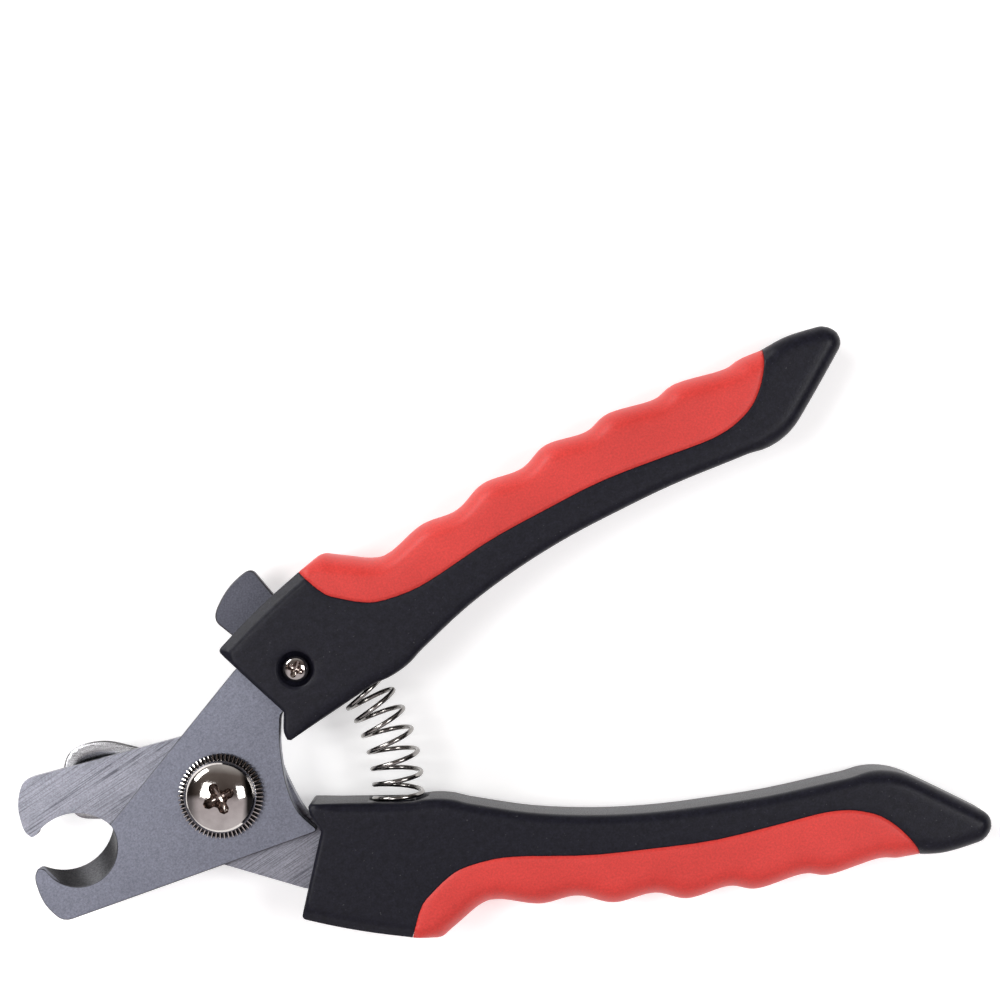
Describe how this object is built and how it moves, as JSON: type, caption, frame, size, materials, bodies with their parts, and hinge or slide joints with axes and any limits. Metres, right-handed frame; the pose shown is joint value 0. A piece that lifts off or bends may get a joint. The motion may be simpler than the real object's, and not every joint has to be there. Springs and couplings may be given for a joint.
{
  "type": "plier-style nail clipper",
  "caption": "Plier-style pet nail clipper with two crossed notched blades on one bolt, a spring, a thumb latch and a swinging nail stop.",
  "frame": {"origin": "centre of the pivot bolt's end face, on the back of the clipper", "axes": "+Z along the pivot, from the nut to the bolt's head; +X midway between the open handles, from the pivot towards their ends"},
  "size_m": [0.1513, 0.0878, 0.0187],
  "materials": {
    "blade_steel": "satin ground",
    "latch_steel": "tumbled",
    "guard_steel": "pressed sheet",
    "nickel": "bright nickel plate",
    "handle_black": "fine moulded texture",
    "grip_red": "soft satin",
    "nylon": "natural nylon"
  },
  "bodies": {
    "lower_half": {"rear_blade": "blade_steel", "lower_handle_core": "handle_black", "lower_handle_grip": "grip_red", "pivot_bolt": "nickel", "knurled_washer": "nickel", "lock_nut": "nickel", "nut_insert": "nylon", "handle_spring": "nickel"},
    "upper_half": {"front_blade": "blade_steel", "upper_handle_core": "handle_black", "upper_handle_grip": "grip_red", "latch_screw": "nickel"},
    "latch": {"latch_lever": "latch_steel"},
    "guard": {"nail_guard": "guard_steel"}
  },
  "joints": [
    {"name": "jaw_pivot", "type": "hinge", "parent": "lower_half", "child": "upper_half", "pos_m": [0, 0, 0.011], "axis": [0, 0, 1], "range_deg": [-24.8, 0], "stiffness_Nm_per_rad": 0.9, "springref_deg": 6.88, "deforming": ["handle_spring"]},
    {"name": "latch_pivot", "type": "hinge", "parent": "upper_half", "child": "latch", "pos_m": [0.01794, 0.01618, 0.0095], "axis": [0, 0, 1], "range_deg": [0, 40]},
    {"name": "guard_pivot", "type": "hinge", "parent": "lower_half", "child": "guard", "pos_m": [0, 0, 0.0075], "axis": [0, 0, 1], "range_deg": [-60, 100]}
  ]
}
